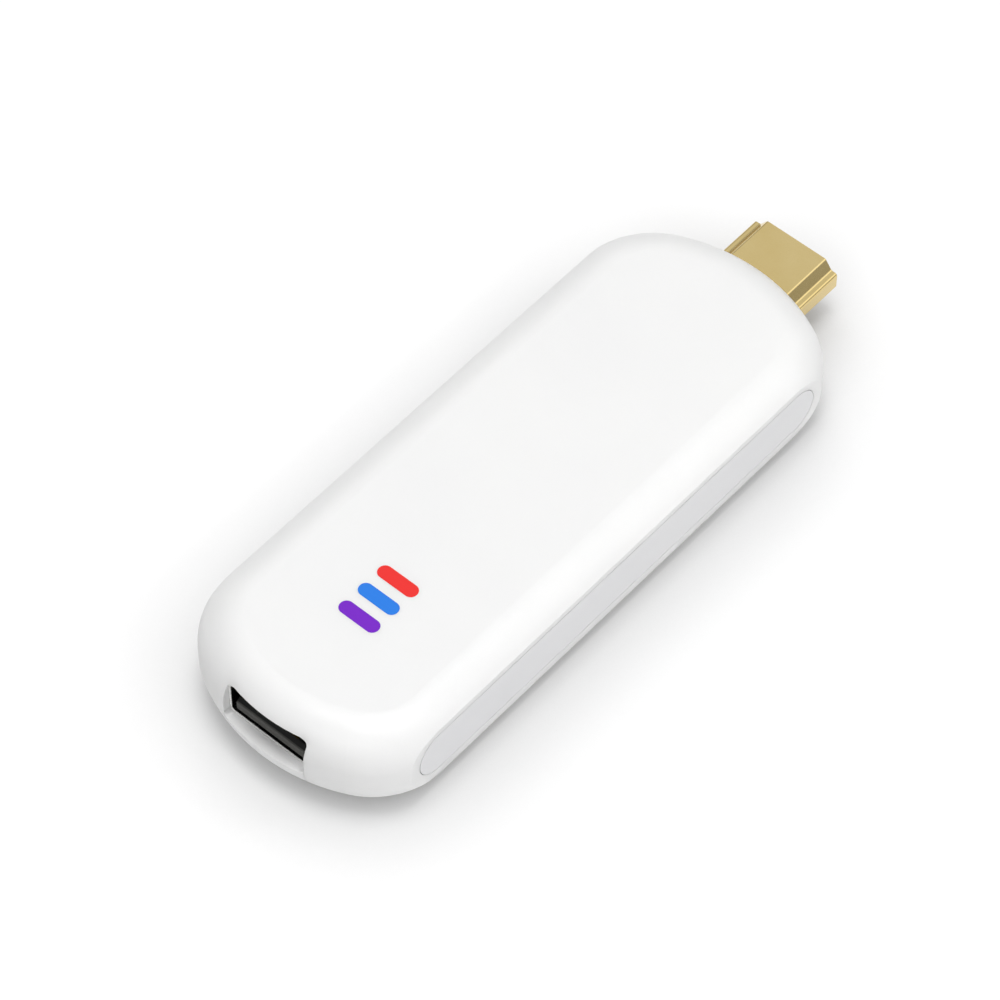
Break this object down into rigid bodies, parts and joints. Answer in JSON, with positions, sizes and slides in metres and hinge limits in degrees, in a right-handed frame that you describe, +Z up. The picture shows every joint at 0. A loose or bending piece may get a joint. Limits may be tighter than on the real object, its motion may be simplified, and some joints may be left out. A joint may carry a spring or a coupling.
{
  "type": "streaming stick",
  "caption": "Slim rounded streaming stick with a fixed video plug at one end, a data port at the other, side panels, and a board with its chips inside.",
  "frame": {"origin": "on the underside, midway between the video plug's front and the data port's end, centred across the width", "axes": "+X along the stick towards the video plug, +Y towards the left side with the openings, +Z up, out of the top"},
  "size_m": [0.1032, 0.0346, 0.0137],
  "materials": {
    "casing_white": "moulded ABS, white, fine satin texture",
    "panel_white": "moulded ABS, white, a little greyer, satin",
    "board_green": "glass-fibre board with green solder mask",
    "screw_zinc": "zinc-plated steel",
    "plug_gold": "gold-plated, stamped and folded sheet, polished",
    "contact_gold": "gold-plated copper alloy",
    "connector_black": "moulded black LCP",
    "plated_steel": "nickel-plated steel sheet",
    "button_plastic": "moulded black nylon",
    "light_lens": "clear epoxy over a yellow phosphor",
    "clear_acrylic": "clear acrylic, polished",
    "chip_epoxy": "black moulding compound",
    "pad_silicone": "soft blue-grey silicone",
    "spreader_aluminium": "extruded aluminium, bare",
    "inductor_ferrite": "moulded ferrite powder",
    "crystal_can": "seam-welded lid",
    "capacitor_ceramic": "fired ceramic, tan",
    "antenna_film": "black polyimide film over copper",
    "lead_jacket": "extruded FEP jacket"
  },
  "bodies": {
    "stick": {"antenna": "antenna_film", "antenna_cap": "contact_gold", "antenna_lead": "lead_jacket", "antenna_socket": "contact_gold", "board_screws": "screw_zinc", "bottom_cover": "casing_white", "capacitors": "capacitor_ceramic", "card_socket_base": "connector_black", "card_socket_contacts": "contact_gold", "card_socket_cover": "plated_steel", "crystal": "crystal_can", "data_port_contacts": "contact_gold", "data_port_shell": "plated_steel", "data_port_tongue": "connector_black", "flash_chip": "chip_epoxy", "heat_spreader": "spreader_aluminium", "inductors": "inductor_ferrite", "left_side_panel": "panel_white", "light_guide": "clear_acrylic", "main_board": "board_green", "memory_chips": "chip_epoxy", "power_chip": "chip_epoxy", "power_inlet_contacts": "contact_gold", "power_inlet_shell": "plated_steel", "power_inlet_tongue": "connector_black", "processor": "chip_epoxy", "reset_switch_base": "connector_black", "reset_switch_cover": "plated_steel", "right_side_panel": "panel_white", "status_light": "light_lens", "thermal_pad": "pad_silicone", "top_shell": "casing_white", "video_plug_contacts": "contact_gold", "video_plug_core": "connector_black", "video_plug_shell": "plug_gold", "wireless_module": "board_green", "wireless_shield": "plated_steel"},
    "reset_button": {"reset_plunger": "button_plastic"}
  },
  "joints": [
    {"name": "reset_press", "type": "slide", "parent": "stick", "child": "reset_button", "axis": [0, -1, 0], "range_m": [0, 0.00025], "stiffness_N_per_m": 6400}
  ]
}
